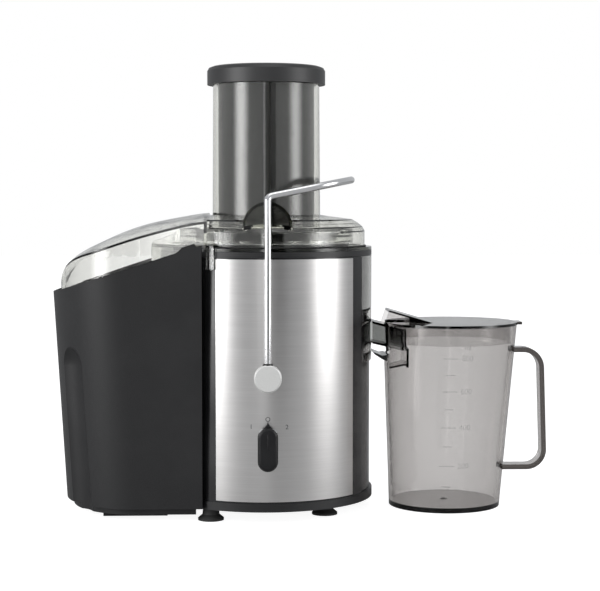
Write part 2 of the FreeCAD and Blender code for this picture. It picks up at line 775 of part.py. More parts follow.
def speed_knob():
    """Long rounded lever that stands off the panel."""
    near = -body_r - 0.5 - knob_depth
    half = knob_length / 2 - knob_width / 2
    ends = [cylinder_y(knob_width / 2, near, -body_r - 0.5, 0, knob_z + side * half) for side in (-1, 1)]
    bar = block(-knob_width / 2, knob_width / 2, near, -body_r - 0.5, knob_z - half, knob_z + half)
    whole = joined(ends + [bar])
    face = [edge for edge in whole.Edges if edge.BoundBox.YMax < near + 0.01]
    whole = whole.makeFillet(2.0, face)
    return whole.cut(cylinder_y(knob_shaft_r, near + 4.0, 0, 0, knob_z))


def knob_shaft():
    return cylinder_y(knob_shaft_r, -body_r - 0.5 - knob_depth + 4.0, -housing_inner + 14.0, 0, knob_z)


def switch_body():
    """Rotary switch behind the panel, with a neck that guides the knob's shaft."""
    box = block(-15.0, 15.0, -housing_inner + 6.0, -housing_inner + 24.0, knob_z - 14.0, knob_z + 14.0)
    neck = cylinder_y(6.0, -housing_inner + 2.0, -housing_inner + 7.0, 0, knob_z)
    bore = cylinder_y(knob_shaft_r + running_gap, -body_r, -housing_inner + 15.0, 0, knob_z)
    return less(joined([box, neck]), [bore])


# ---------------------------------------------------------------- pulp container

def bin_outline(z, inset):
    """Plan of the container at one height: straight sides and a half-oval end."""
    fall = bin_inner_top - z
    left = -bin_length + bin_draft * fall + inset
    half = bin_half_width - bin_side_draft * fall - inset
    middle = left + bin_bend - inset
    right = -bin_right - inset
    return half_oval(left, middle, right, half, z)


def grip_centre(z):
    """Axis of the finger groove at one height: it follows the leaning wall."""
    fall = bin_inner_top - z
    left = -bin_length + bin_draft * fall
    half = bin_half_width - bin_side_draft * fall
    reach = (bin_bend - grip_back) / bin_bend
    wall = Vector(left + grip_back, -half * math.sqrt(1.0 - reach ** 2), z)
    normal = Vector(-reach / bin_bend, wall.y / half ** 2, 0).normalize()
    return wall + normal * (grip_r - grip_depth)


def bin_grip(radius):
    """Finger groove with a round top, on the rounded front corner."""
    foot_end = grip_centre(-20.0)
    top_end = grip_centre(grip_top - grip_r)
    run = top_end - foot_end
    groove = Part.makeCylinder(radius, run.Length, foot_end, run)
    return joined([groove, Part.makeSphere(radius, top_end)])


def pulp_container():
    rim_z = body_top + 4.9
    high = rim_z + 12.0
    step = pad_height + 5.0
    clear_r = body_r + bin_gap
    outer = Part.makeLoft([bin_outline(step, 0.0), bin_outline(high, 0.0)], True, True)
    plinth = Part.makeLoft([bin_outline(pad_height, 5.0), bin_outline(step, 5.0)], True, True)
    outer = joined([outer, plinth])
    floor = bin_outline(step + bin_wall, bin_wall)
    inner = Part.makeLoft([floor, bin_outline(high + 1, bin_wall)], True, True)
    grips = [bin_grip(grip_r), mirrored_y(bin_grip(grip_r))]
    bulges = [bin_grip(grip_r + bin_wall), mirrored_y(bin_grip(grip_r + bin_wall))]
    outer = less(outer, grips + [cylinder(clear_r, 0, high + 5)])
    inner = less(inner, bulges + [cylinder(clear_r + bin_wall, 0, high + 5)])
    shell = outer.cut(inner)
    tip_z = rim_z - rim_slope * (bin_length + 20.0 - bin_right)
    catch_start = -bin_right - catch_right
    catch_end = -bin_right - catch_left
    catch_top = rim_z - rim_slope * catch_right + catch_height - 1.0
    over_rim = prism_y([(0, rim_z), (-bin_right + 1, rim_z), (catch_start, rim_z - rim_slope * catch_right),
                        (catch_start - 1.0, catch_top), (catch_end + 4.0, catch_top - 3.0),
                        (catch_end, rim_z - rim_slope * catch_left), (-bin_length - 20.0, tip_z),
                        (-bin_length - 20.0, high + 20), (0, high + 20)], -200, 200)
    low_wall = cylinder(clear_r + bin_wall + 2.0, bin_inner_top, high + 5)
    side_clear = clear_r ** 2 - bin_right ** 2
    half = math.sqrt(side_clear) + 0.9
    low_wall = low_wall.common(block(-200, 0, -half, half, 0, high + 5))
    shell = less(shell, [over_rim, low_wall])
    pad = block(-128.0, -70.0, -46.0, 46.0, 0, pad_height + 0.5).cut(cylinder(clear_r + 4.0, -1, high))
    return joined([shell, pad])


# ---------------------------------------------------------------- jug

def jug_circle(z, inset):
    share = z / jug_rim_z
    radius = jug_base_r + (jug_rim_r - jug_base_r) * share - inset
    x = jug_base_x + jug_lean * share
    return Part.Wire([Part.Circle(Vector(x, 0, z), Vector(0, 0, 1), radius).toShape()])


notch_low = outlet_low - 10.4
jug_left = jug_rim_x - jug_rim_r


def jug():
    outer = Part.makeLoft([jug_circle(0.0, 0.0), jug_circle(jug_rim_z, 0.0)], True, True)
    inner = Part.makeLoft([jug_circle(jug_wall + 1.4, jug_wall), jug_circle(jug_rim_z + 1, jug_wall)],
                          True, True)
    notch = block(jug_left - 30, jug_left + 22, -notch_half_width, notch_half_width,
                  notch_low, jug_rim_z + 5)
    lip_tip = body_r + 1.3
    lip = prism_y([(jug_left + 1.6, notch_low), (jug_left + 1.6, notch_low - 5.0),
                   (jug_left - 2.0, notch_low - 3.6), (lip_tip, notch_low + 0.6),
                   (lip_tip, notch_low + 2.0), (jug_left - 2.0, notch_low - 0.6)],
                  -notch_half_width - 1.6, notch_half_width + 1.6)
    top_z = jug_rim_z - 20.2
    path = bent_path([Vector(strap_x - 23.0, 0, top_z), Vector(strap_x - 0.9, 0, top_z),
                      Vector(strap_x + 2.2, 0, 30.6), Vector(strap_x - 32.6, 0, 30.6)], [15.0, 14.0])
    corners = [(-1, -1), (1, -1), (1, 1), (-1, 1), (-1, -1)]
    section = Part.makePolygon([Vector(strap_x - 23.0, side * strap_width / 2,
                                       top_z + face * strap_thickness / 2) for side, face in corners])
    strap = path.makePipe(Part.Face(section))
    whole = outer.cut(inner).cut(notch)
    return joined([whole, lip, strap.cut(inner)])


def splash_guard():
    """Baffle across the jug that turns the stream down; a narrow tongue rises behind the nozzle."""
    low = outlet_low - 19.0
    left = nozzle_end + 0.6
    right = left + 1.6
    plate = block(left, right, -jug_rim_r, jug_rim_r, low, jug_rim_z - 16.6)
    tongue = block(left, right, -15.0, 15.0, low, outlet_high - 6.4)
    floor = prism_y([(right, low), (left - 11.0, low - 2.8), (left - 11.0, low - 1.2), (right, low + 1.6)],
                    -15.0, 15.0)
    room = Part.makeLoft([jug_circle(jug_wall + 1.4, jug_wall + 0.05),
                          jug_circle(jug_rim_z, jug_wall + 0.05)], True, True)
    return joined([plate, tongue, floor]).common(room)


def jug_lid():
    """Flat lid with a short inner skirt and a hood over the nozzle."""
    x = jug_rim_x
    low = jug_rim_z + 0.3
    high = low + jug_lid_thickness
    disc = cylinder(jug_rim_r + 0.4, low, high, x)
    skirt = ring(jug_rim_r - 4.6, jug_rim_r - 6.2, low - 14.0, high, x - 0.4)
    tab = block(x + jug_rim_r - 4.0, x + jug_rim_r + 3.6, -9.0, 9.0, low, high)
    opening = block(jug_left - 10, nozzle_end + 3.6, -notch_half_width + 0.2, notch_half_width - 0.2,
                    low - 20, high + 30)
    body = joined([disc, skirt, tab]).cut(opening)
    left = jug_left - 0.3
    apex = jug_left + 3.5
    hood_end = jug_left + 39.6
    half = notch_half_width + 1.4
    outer = [(left, low), (left, high - 1.0), (apex, low + hood_rise + 0.8), (hood_end, high - 0.4),
             (hood_end, low)]
    inner = [(left - 5, low - 1), (left - 5, low + hood_rise - 0.8), (apex + 0.2, low + hood_rise - 0.8),
             (nozzle_end + 3.6, low + 6.0), (nozzle_end + 3.6, low - 1)]
    hood = prism_y(outer, -half, half).cut(prism_y(inner, -half + 1.6, half - 1.6))
    return joined([body, hood])


# ---------------------------------------------------------------- all the pieces

save("base_housing", base_housing())
save("front_panel", front_panel())
save("top_ring", ring(body_r, housing_inner - 1.0, ring_low, ring_low + ring_height))
save("base_skirt", base_skirt())
save("bottom_cover", bottom_cover())
save("bottom_screws", *[cover_screw(x, y) for x, y in around(4, 48.0, 45.0)])
for foot_name, place in zip(foot_names, foot_places):
    save(foot_name, foot(*place))
save("top_deck", top_deck())
save("cord_gland", cord_gland())
save("arm_bush_front", arm_bush())
save("arm_bush_rear", mirrored_y(arm_bush()))

save("motor_upper_bracket", bracket(bracket_high - bracket_thickness, 1))
save("motor_lower_bracket", bracket(lower_bracket_high - bracket_thickness, -1))
save("upper_bearing", *ball_bearing(bracket_high + 0.1))
save("lower_bearing", *ball_bearing(lower_bracket_high - bracket_thickness - bearing_height + 0.1))
save("stator_core", stator_core())
save("field_windings", field_coil(0), field_coil(180))
save("brush_holders", brush_tube(90), brush_tube(270))
save("carbon_brushes", carbon_brush(90), carbon_brush(270))
save("motor_screws", *[tie_screw(x, y) for x, y in around(4, tie_circle, 45.0)])
save("motor_mounts", *[motor_mount(x, y) for x, y in around(4, tie_circle)])
save("shaft_seal", shaft_seal())

save("motor_shaft", motor_shaft())
save("armature_core", armature_core())
save("armature_windings", armature_windings())
save("commutator", commutator())
save("cooling_fan", cooling_fan())
save("drive_coupling", drive_coupling())
save("basket_hub", basket_hub())
save("filter_mesh", filter_mesh())
save("grater_disc", grater_disc())
save("basket_rim", basket_rim())

save("bowl", bowl())
save("juice_spout", juice_spout())
save("lid", lid())
save("pusher_body", pusher_body())
save("pusher_cap", pusher_cap())

save("locking_arm", locking_arm())
save("arm_boss_front", arm_boss())
save("arm_boss_rear", mirrored_y(arm_boss()))
save("arm_pin_front", arm_pin())
save("arm_pin_rear", mirrored_y(arm_pin()))
save("arm_cam", arm_cam())
save("interlock_plunger", interlock_plunger())
save("interlock_switch", interlock_switch())

save("speed_knob", speed_knob())
save("knob_shaft", knob_shaft())
save("switch_body", switch_body())

save("pulp_container", pulp_container())
save("jug", jug())
save("splash_guard", splash_guard())
save("jug_lid", jug_lid())
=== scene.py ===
import math
import bmesh
import bpy
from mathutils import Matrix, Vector


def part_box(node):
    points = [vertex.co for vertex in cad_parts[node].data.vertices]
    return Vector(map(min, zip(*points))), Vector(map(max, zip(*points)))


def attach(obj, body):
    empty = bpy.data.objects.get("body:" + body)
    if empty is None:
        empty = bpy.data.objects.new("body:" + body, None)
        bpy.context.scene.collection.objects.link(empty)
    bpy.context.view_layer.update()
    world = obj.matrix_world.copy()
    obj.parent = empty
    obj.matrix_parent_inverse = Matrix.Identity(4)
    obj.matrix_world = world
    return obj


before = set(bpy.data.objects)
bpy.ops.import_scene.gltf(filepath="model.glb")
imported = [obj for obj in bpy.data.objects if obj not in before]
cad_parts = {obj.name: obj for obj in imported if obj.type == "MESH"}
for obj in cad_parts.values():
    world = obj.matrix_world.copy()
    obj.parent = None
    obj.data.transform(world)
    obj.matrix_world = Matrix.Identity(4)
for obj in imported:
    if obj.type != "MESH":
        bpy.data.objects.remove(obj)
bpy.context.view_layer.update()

# ---- Camera --------------------------------------------------------------------------------------
# A long lens 1.3 m in front of the drive axis and a little above the housing, looking slightly down. It
# stands just left of the axis and aims just right of it, since the jug puts the machine's middle there.
shaft_low, shaft_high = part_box("motor_shaft")
axis_x = (shaft_low[0] + shaft_high[0]) / 2
eye_distance = 1.300
eye_height = 0.245
eye_aside = -0.014
aim_height = 0.1695
aim_aside = 0.027

lens = bpy.data.cameras.new("camera")
lens.sensor_width = 36.0
lens.lens = 97.0
lens.clip_start = 0.02
camera = bpy.data.objects.new("camera", lens)
bpy.context.scene.collection.objects.link(camera)
camera.location = (axis_x + eye_aside, -eye_distance, eye_height)
camera.rotation_euler = (math.pi / 2 - math.atan((eye_height - aim_height) / eye_distance), 0.0,
                         -math.atan((aim_aside - eye_aside) / eye_distance))
bpy.context.scene.camera = camera

# ---- Floor and studio ----------------------------------------------------------------------------
# A white floor in a white room. Two wide softboxes draw the long highlights, one hangs overhead, and a
# narrow strip lights the steel from the front. All fade to their sides. A wide dark card, upright and right
# of the lens, makes the dark stripe down the steel.


class Wire:
    """A shader socket. Arithmetic on it adds Math nodes, and node() adds any other node."""

    def __init__(self, tree, socket=None):
        self.tree = tree
        self.socket = socket

    def node(self, kind, settings=None, inputs=None, output=0):
        made = self.tree.nodes.new("ShaderNode" + kind)
        for name, value in (settings or {}).items():
            setattr(made, name, value)
        for name, value in (inputs or {}).items():
            if isinstance(value, Wire):
                self.tree.links.new(value.socket, made.inputs[name])
            else:
                made.inputs[name].default_value = value
        return Wire(self.tree, made.outputs[output])

    def beside(self, output):
        """Another output of the same node."""
        return Wire(self.tree, self.socket.node.outputs[output])

    def math(self, operation, first, second=0.0):
        return self.node("Math", {"operation": operation}, {0: first, 1: second})

    def __add__(self, other):
        return self.math("ADD", self, other)

    __radd__ = __add__

    def __sub__(self, other):
        return self.math("SUBTRACT", self, other)

    def __rsub__(self, other):
        return self.math("SUBTRACT", other, self)

    def __mul__(self, other):
        return self.math("MULTIPLY", self, other)

    __rmul__ = __mul__

    def places(self):
        """Positions in the row frame, in metres."""
        return self.node("TexCoord", output="Object")

    def direct(self):
        """1 where the lens looks at a thing straight or through clear plastic, and 0 for all other light."""
        path = self.node("LightPath")
        return self.math("MAXIMUM", path, path.beside("Is Transmission Ray"))

    def split(self):
        x = self.node("SeparateXYZ", {}, {"Vector": self.places()})
        return x, x.beside("Y"), x.beside("Z")

    def noise(self, scale, detail=3.0, where=None):
        inputs = {"Vector": where or self.places(), "Scale": scale, "Detail": detail}
        return self.node("TexNoise", {}, inputs)

    def between(self, low, high):
        """0 below low, 1 above high."""
        return self.node("MapRange", {}, {"Value": self, "From Min": low, "From Max": high})

    def tint(self, first, second):
        """The first colour where this is 0, the second where it is 1. Mix has its colours at 6, 7 and 2."""
        colours = {0: self, 6: (*first, 1.0), 7: (*second, 1.0)}
        return self.node("Mix", {"data_type": "RGBA"}, colours, output=2)

    def bump(self, distance, strength=1.0):
        return self.node("Bump", {}, {"Strength": strength, "Distance": distance, "Height": self})


def material(name, plain, recipe, absorbs=None):
    """A Principled material: plain values on its sockets, and the recipe's wires on the ones that vary."""
    made = bpy.data.materials.new(name)
    made.use_nodes = True
    tree = made.node_tree
    shader = tree.nodes["Principled BSDF"]
    for socket, value in plain.items():
        shader.inputs[socket].default_value = value
    for socket, wire in recipe(Wire(tree)).items():
        tree.links.new(wire.socket, shader.inputs[socket])
    if absorbs:
        colour, density = absorbs
        depth = Wire(tree).node("VolumeAbsorption", {}, {"Color": (*colour, 1.0), "Density": density})
        tree.links.new(depth.socket, tree.nodes["Material Output"].inputs["Volume"])
    return made


def paint(made, *names):
    """Puts one material on CAD nodes or on pieces."""
    for name in names:
        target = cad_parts[name] if isinstance(name, str) else name
        if target.material_slots:
            for place in target.material_slots:
                place.material = made
        else:
            target.data.materials.append(made)


def link(name, mesh):
    made = bpy.data.objects.new(name, mesh)
    bpy.context.scene.collection.objects.link(made)
    return made


def sheet(name, corners):
    mesh = bpy.data.meshes.new(name)
    mesh.from_pydata(corners, [], [tuple(range(len(corners)))])
    return link(name, mesh)


softbox_aim = 0.15


def softbox(name, azimuth, distance, height, size, power):
    """A rectangular lamp at an azimuth from the front, turned to the drive axis, that fades to its sides."""
    lamp = bpy.data.lights.new(name, "AREA")
    lamp.shape = "RECTANGLE"
    lamp.size, lamp.size_y = size
    lamp.energy = power
    lamp.use_nodes = True
    start = Wire(lamp.node_tree)
    across = start.node("SeparateXYZ", {}, {"Vector": start.node("NewGeometry", output="Parametric")})
    fade = start.math("SINE", across * math.pi)
    glow = start.node("Emission", {}, {"Strength": fade * fade})
    lamp.node_tree.links.new(glow.socket, lamp.node_tree.nodes["Light Output"].inputs["Surface"])
    made = bpy.data.objects.new(name, lamp)
    bpy.context.scene.collection.objects.link(made)
    turn = math.radians(azimuth)
    made.location = (axis_x + distance * math.sin(turn), -distance * math.cos(turn), height)
    toward = Vector((axis_x, 0.0, softbox_aim)) - made.location
    made.rotation_euler = toward.to_track_quat("-Z", "Y").to_euler()
    made.visible_camera = False


softbox("softbox_left", azimuth=-57.0, distance=1.5, height=0.40, size=(1.20, 1.4), power=38.0)
softbox("softbox_right", azimuth=66.0, distance=1.6, height=0.45, size=(1.25, 1.4), power=27.0)
softbox("softbox_top", azimuth=10.0, distance=0.5, height=1.70, size=(1.6, 1.2), power=9.0)
softbox("strip_front", azimuth=-4.5, distance=1.5, height=0.45, size=(0.20, 1.3), power=2.6)

room_colour, room_level = (0.96, 0.98, 1.0, 1.0), 0.56
backdrop_colour, backdrop_level = (1.0, 1.0, 1.0, 1.0), 1.0
world = bpy.data.worlds.new("studio")
world.use_nodes = True
bpy.context.scene.world = world
bpy.context.scene.view_settings.view_transform = "Standard"
sky = Wire(world.node_tree)
straight = sky.direct()
walls = sky.node("Background", {}, {"Color": room_colour, "Strength": room_level})
backdrop = sky.node("Background", {}, {"Color": backdrop_colour, "Strength": backdrop_level})
room = sky.node("MixShader", {}, {0: straight, 1: walls, 2: backdrop})
world.node_tree.links.new(room.socket, world.node_tree.nodes["World Output"].inputs["Surface"])

floor_z = -0.0004
floor_half = 6.0
floor = sheet("floor", [(-floor_half, -floor_half, floor_z), (floor_half, -floor_half, floor_z),
                        (floor_half, floor_half, floor_z), (-floor_half, floor_half, floor_z)])
card_left, card_right = axis_x + 0.02, axis_x + 0.52
card_low, card_high = -0.1, 1.1
card_y = -1.45
card = sheet("dark_card", [(card_left, card_y, card_low), (card_right, card_y, card_low),
                           (card_right, card_y, card_high), (card_left, card_y, card_high)])
card.visible_camera = False


def white_paper(start):
    straight = start.direct()
    fibre = start.noise(3.0)
    return {"Base Color": fibre.tint((0.38, 0.38, 0.38), (0.42, 0.42, 0.42)),
            "Emission Color": straight.tint((0.06, 0.06, 0.06), (0.92, 0.92, 0.92))}


def black_card(start):
    return {"Base Color": start.noise(20.0).tint((0.01, 0.01, 0.01), (0.02, 0.02, 0.02))}


paint(material("floor_paper", {"Roughness": 0.8, "Emission Strength": 1.0}, white_paper), floor)
paint(material("card_black", {"Roughness": 0.9}, black_card), card)

# ---- Main housing --------------------------------------------------------------------------------
# Injection-moulded tube in glossy black ABS with a fine orange-peel surface. A pocket in its front takes the
# steel panel, and the shallow recess at its right side takes the clear outlet of the bowl.
housing_r = Vector(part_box("base_housing")[1]).y


def gloss_black(start):
    peel = start.noise(900.0, 2.0)
    smudge = start.noise(28.0, 4.0).between(0.35, 0.75)
    return {"Base Color": smudge.tint((0.007, 0.007, 0.008), (0.012, 0.012, 0.013)),
            "Roughness": 0.16 + smudge * 0.10 + start.noise(2600.0) * 0.04,
            "Normal": peel.bump(0.00005, 0.5)}


paint(material("housing_black", {"IOR": 1.5}, gloss_black), "base_housing", "top_deck", "switch_body",
      "interlock_switch", "arm_bush_front", "arm_bush_rear")

# ---- Rear louvres and blank plate ----------------------------------------------------------------
# The motor's air comes in at the back through a moulded grille, black ribs glued in a shallow frame. A blank
# foil plate is stuck above it.


def on_round(angle, radius, z):
    """A place on a circle about the drive axis; the angle is measured from the rear, in radians."""
    return axis_x + radius * math.sin(angle), radius * math.cos(angle), z


def bent_slab(angles, levels, inner, outer, steps):
    """Vertices and faces of a slab that follows the housing, closed on all sides."""
    verts = []
    for step in range(steps + 1):
        angle = angles[0] + (angles[1] - angles[0]) * step / steps
        verts += [on_round(angle, inner, levels[0]), on_round(angle, outer, levels[0]),
                  on_round(angle, outer, levels[1]), on_round(angle, inner, levels[1])]
    faces = [(0, 1, 2, 3), tuple(4 * steps + corner for corner in (3, 2, 1, 0))]
    for step in range(steps):
        low = 4 * step
        for side in range(4):
            after = (side + 1) % 4
            faces.append((low + side, low + 4 + side, low + 4 + after, low + after))
    return verts, faces


def piece(name, parts, body, made, rounding=0.0):
    """One mesh object from a list of (vertices, faces), on a body, with its edges rounded."""
    mesh = bpy.data.meshes.new(name)
    all_verts, all_faces = [], []
    for verts, faces in parts:
        start = len(all_verts)
        all_verts += [tuple(vert) for vert in verts]
        all_faces += [tuple(start + corner for corner in face) for face in faces]
    mesh.from_pydata(all_verts, [], all_faces)
    tool = bmesh.new()
    tool.from_mesh(mesh)
    bmesh.ops.recalc_face_normals(tool, faces=tool.faces)
    tool.to_mesh(mesh)
    tool.free()
    mesh.shade_smooth()
    whole = link(name, mesh)
    if rounding:
        bevel = whole.modifiers.new("rounded_edges", "BEVEL")
        bevel.width = rounding
        bevel.segments = 3
        bevel.limit_method = "ANGLE"
        bevel.harden_normals = True
    paint(made, whole)
    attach(whole, body)
    return whole


louvre_half = math.radians(24.0)
louvre_low = 0.046
louvre_pitch = 0.0052
louvre_thick = 0.0026
louvre_count = 9
louvre_sunk = 0.0004
louvre_proud = 0.0014
frame_half = 0.012
frame_below = 0.002
frame_proud = 0.0018
louvres = []
for number in range(louvre_count):
    foot = louvre_low + louvre_pitch * number
    louvres.append(bent_slab((-louvre_half, louvre_half), (foot, foot + louvre_thick),
                             housing_r - louvre_sunk, housing_r + louvre_proud, 24))
for side in (-1, 1):
    edge = side * louvre_half
    louvres.append(bent_slab((edge - frame_half, edge + frame_half),
                             (louvre_low - frame_below, louvre_low + louvre_pitch * louvre_count),
                             housing_r - louvre_sunk, housing_r + frame_proud, 4))


def satin_black(start):
    grain = start.noise(2200.0, 2.0)
    wear = start.noise(40.0, 4.0).between(0.4, 0.8)
    return {"Base Color": wear.tint((0.008, 0.008, 0.009), (0.014, 0.014, 0.015)),
            "Roughness": 0.34 + wear * 0.12,
            "Normal": grain.bump(0.00005, 0.5)}


satin = material("satin_black", {"IOR": 1.48}, satin_black)
piece("rear_louvres", louvres, "base", satin, 0.0003)


def foil(start):
    grain = start.noise(500.0, 4.0)
    return {"Base Color": grain.tint((0.44, 0.44, 0.45), (0.52, 0.52, 0.53)),
            "Roughness": 0.32 + grain * 0.12}


plate_half = 0.30
plate_low, plate_high = 0.146, 0.170
foil_half = 0.0002
plate = bent_slab((-plate_half, plate_half), (plate_low, plate_high),
                  housing_r - foil_half, housing_r + foil_half, 16)
piece("blank_plate", [plate], "base", material("plate_foil", {"Metallic": 0.7}, foil))

# ---- Front panel ---------------------------------------------------------------------------------
# One rolled sheet of stainless steel, brushed along its length round the body, so that its fine lines lie
# level and its reflections stand upright.


def brushed_round(start):
    x, y, z = start.split()
    arc = start.math("ARCTAN2", x - axis_x, y * -1.0)
    along = start.node("CombineXYZ", {}, {0: arc * 3.0, 1: 0.0, 2: z * 3600.0})
    coarse = start.node("CombineXYZ", {}, {0: arc * 1.2, 1: 0.0, 2: z * 500.0})
    fine = start.noise(1.0, 4.0, along)
    broad = start.noise(1.0, 3.0, coarse)
    cloud = start.noise(22.0, 3.0)
    line = fine * 0.6 + broad * 0.4
    return {"Base Color": line.between(0.3, 0.7).tint((0.53, 0.52, 0.515), (0.61, 0.60, 0.595)),
            "Roughness": 0.21 + line * 0.14 + cloud * 0.05,
            "Normal": line.bump(0.00002, 0.3)}


paint(material("brushed_panel", {"Metallic": 1.0}, brushed_round), "front_panel")

# ---- Dial marks ----------------------------------------------------------------------------------
# Three small characters screen-printed in dark ink on the steel round the knob: off above it, the low speed
# at the left and the high speed at the right.
panel_r = 0.0844


def ink(start):
    speck = start.noise(3000.0, 2.0)
    return {"Base Color": speck.tint((0.035, 0.035, 0.036), (0.075, 0.075, 0.076)),
            "Roughness": 0.5 + speck * 0.2}


def characters(text, size):
    """Flat outline of a short text, centred, as vertices (x, y) and faces."""
    words = bpy.data.curves.new("words", "FONT")
    words.body = text
    words.size = size
    words.align_x = "CENTER"
    words.align_y = "CENTER"
    holder = link("words", words)
    bpy.context.view_layer.update()
    flat = bpy.data.meshes.new_from_object(holder)
    verts = [(vert.co.x, vert.co.y) for vert in flat.vertices]
    faces = [tuple(face.vertices) for face in flat.polygons]
    bpy.data.objects.remove(holder)
    bpy.data.curves.remove(words)
    bpy.data.meshes.remove(flat)
    return verts, faces


mark_size = 0.0050
mark_lift = 0.00006
mark_places = (("O", 0.0, 0.0803), ("1", -0.0127, 0.0747), ("2", 0.0146, 0.0743))
marks = []
for text, aside, level in mark_places:
    flat_verts, flat_faces = characters(text, mark_size)
    bent = []
    for flat_x, flat_y in flat_verts:
        turn = (aside + flat_x) / panel_r
        reach = panel_r + mark_lift
        bent.append((axis_x + reach * math.sin(turn), -reach * math.cos(turn), level + flat_y))
    marks.append((bent, flat_faces))
piece("dial_marks", marks, "base", material("dark_ink", {}, ink))

# ---- Top ring, base skirt and bottom cover -------------------------------------------------------
# Satin black mouldings: the ring caps the housing, the skirt closes it below, and the slotted cover lets the
# motor's air out. Four plated screws hold the cover. The same plated steel serves the motor's screws, the
# arm's pins, both shafts and the bearings.
paint(satin, "top_ring", "base_skirt", "bottom_cover")


def plated(start):
    streak = start.noise(700.0, 3.0)
    return {"Base Color": streak.tint((0.55, 0.55, 0.56), (0.68, 0.68, 0.69)),
            "Roughness": 0.26 + streak * 0.2,
            "Normal": streak.bump(0.00002, 0.4)}


steel = material("plated_steel", {"Metallic": 1.0}, plated)
paint(steel, "bottom_screws", "motor_screws", "arm_pin_front", "arm_pin_rear", "motor_shaft", "knob_shaft",
      "upper_bearing", "lower_bearing")

# ---- Feet, gland and rubber parts ----------------------------------------------------------------
# Suction feet under the base, the lead's grommet in the rear wall, the motor's mounts and the shaft seal.
# All are moulded in matte black rubber with a faint bloom.


def rubbery(start):
    bloom = start.noise(90.0, 4.0).between(0.35, 0.8)
    return {"Base Color": bloom.tint((0.010, 0.010, 0.010), (0.028, 0.028, 0.027)),
            "Roughness": 0.62 + bloom * 0.2,
            "Normal": start.noise(1500.0).bump(0.00008, 0.5)}


rubber = material("black_rubber", {"IOR": 1.5}, rubbery)
paint(rubber, "foot_front_left", "foot_front_right", "foot_rear_left", "foot_rear_right", "cord_gland",
      "motor_mounts", "shaft_seal")

# ---- Motor ---------------------------------------------------------------------------------------
# Die-cast brackets, lacquered laminations, varnished copper windings, a copper commutator, brass brush tubes
# and carbon brushes.


def cast(start):
    pits = start.noise(600.0, 5.0)
    return {"Base Color": pits.tint((0.50, 0.50, 0.52), (0.64, 0.64, 0.66)),
            "Roughness": 0.42 + pits * 0.2,
            "Normal": pits.bump(0.0002, 0.6)}


def laminated(start):
    sheets = start.math("SINE", start.split()[2] * 12566.0)
    rust = start.noise(120.0, 4.0).between(0.5, 0.8)
    return {"Base Color": rust.tint((0.09, 0.09, 0.10), (0.16, 0.12, 0.10)),
            "Roughness": 0.45 + rust * 0.2,
            "Normal": sheets.bump(0.00008, 0.5)}


def copper_wire(start):
    # Painted shade: the wave paints the grooves between the turns darker, as shade between the wires.
    turns = start.node("TexWave", {"bands_direction": "DIAGONAL"},
                       {"Vector": start.places(), "Scale": 420.0, "Distortion": 1.4, "Detail": 2.0},
                       output="Fac")
    return {"Base Color": turns.tint((0.22, 0.06, 0.02), (0.62, 0.26, 0.11)),
            "Roughness": 0.28 + start.noise(300.0) * 0.15,
            "Normal": turns.bump(0.0004, 0.9)}


def bright_brass(start):
    dull = start.noise(260.0, 4.0)
    return {"Base Color": dull.tint((0.62, 0.42, 0.16), (0.78, 0.58, 0.26)),
            "Roughness": 0.24 + dull * 0.2}


def sooty(start):
    grit = start.noise(1400.0, 3.0)
    return {"Base Color": grit.tint((0.012, 0.012, 0.013), (0.05, 0.05, 0.052)),
            "Roughness": 0.55 + grit * 0.2, "Normal": grit.bump(0.0001, 0.5)}


def grey_moulding(start):
    grain = start.noise(1800.0, 2.0)
    return {"Base Color": grain.tint((0.10, 0.10, 0.105), (0.13, 0.13, 0.135)),
            "Roughness": 0.38 + grain * 0.1, "Normal": grain.bump(0.00006, 0.5)}


paint(material("die_cast", {"Metallic": 0.9}, cast), "motor_upper_bracket", "motor_lower_bracket")
paint(material("laminations", {"Metallic": 0.6}, laminated), "stator_core", "armature_core")
paint(material("windings", {"Metallic": 0.8, "Coat Weight": 0.4}, copper_wire), "field_windings",
      "armature_windings", "commutator")
paint(material("brass", {"Metallic": 1.0}, bright_brass), "brush_holders")
paint(material("carbon", {}, sooty), "carbon_brushes")
paint(material("grey_moulding", {"IOR": 1.48}, grey_moulding), "cooling_fan", "drive_coupling", "basket_hub",
      "interlock_plunger", "arm_cam")

# ---- Filter basket -------------------------------------------------------------------------------
# A cone of etched steel mesh over a toothed steel grater disc, held between a moulded hub and a moulded
# rim. It turns with the motor's shaft.


def etched(start):
    x, y, z = start.split()
    around = start.math("SINE", start.math("ARCTAN2", x - axis_x, y) * 377.0)
    level = start.math("SINE", z * 4000.0)
    # Painted shade: the etched holes are painted near black, for the shade seen through them.
    hole = (around * level).between(0.25, 0.55)
    return {"Base Color": hole.tint((0.62, 0.62, 0.63), (0.05, 0.05, 0.05)),
            "Roughness": 0.3 + hole * 0.3,
            "Metallic": 1.0 - hole * 0.8,
            "Normal": (1.0 - hole).bump(0.0003, 0.6)}


paint(material("filter_mesh", {}, etched), "filter_mesh")
paint(steel, "grater_disc")

# ---- Bowl and nozzle -----------------------------------------------------------------------------
# Smoky clear styrene-acrylonitrile, 2.4 mm thick, polished on both faces. The nozzle is a separate clear
# duct that clips on the outlet, and the basket's rim is moulded in a clearer, slightly green plastic.


def polished_clear(start):
    cloud = start.noise(14.0, 2.0)
    return {"Base Color": cloud.tint((0.965, 0.965, 0.965), (0.985, 0.985, 0.985)),
            "Roughness": 0.012 + start.noise(60.0, 4.0).between(0.5, 0.9) * 0.04,
            "Normal": start.noise(35.0, 2.0).bump(0.0003, 0.25)}


def clear_plastic(name, colour, density):
    """A polished plastic that lets light through and takes on a colour with depth."""
    return material(name, {"Transmission Weight": 1.0, "IOR": 1.46}, polished_clear, (colour, density))


